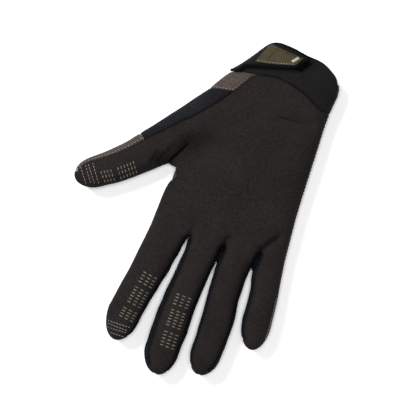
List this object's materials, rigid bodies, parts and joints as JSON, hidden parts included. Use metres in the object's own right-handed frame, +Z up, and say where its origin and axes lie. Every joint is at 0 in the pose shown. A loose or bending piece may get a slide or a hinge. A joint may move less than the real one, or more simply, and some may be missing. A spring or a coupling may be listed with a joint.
{
  "type": "cycling glove",
  "caption": "Full-finger right-hand cycling glove, softly filled, lying on its back with the palm up, with knit finger sides, a stretch cuff and a closure tab.",
  "frame": {"origin": "middle of the glove's box in X and Y, on the surface that its back rests on", "axes": "+Y from the fingers to the cuff, +X to the little finger side, +Z up out of the palm"},
  "size_m": [0.1544, 0.228, 0.0275],
  "materials": {
    "palm_suede": "matt synthetic suede",
    "back_fabric": "matt mesh",
    "navy_knit": "matt knit",
    "cuff_stretch": "smooth stretch fabric",
    "tab_pad": "padded, with a smooth edge",
    "hook_black": "matt hook pile",
    "patch_olive": "moulded, semi-matt",
    "bar_pale": "moulded, semi-matt"
  },
  "bodies": {
    "root": {"palm_panel": "palm_suede", "back_panel": "back_fabric", "thumb_side_panel": "navy_knit", "fourchette_index_middle": "navy_knit", "fourchette_middle_ring": "navy_knit", "fourchette_ring_little": "navy_knit", "cuff": "cuff_stretch", "closure_tab": "tab_pad", "hook_pad": "hook_black", "tab_patch": "patch_olive", "tab_bar": "bar_pale"}
  },
  "joints": []
}
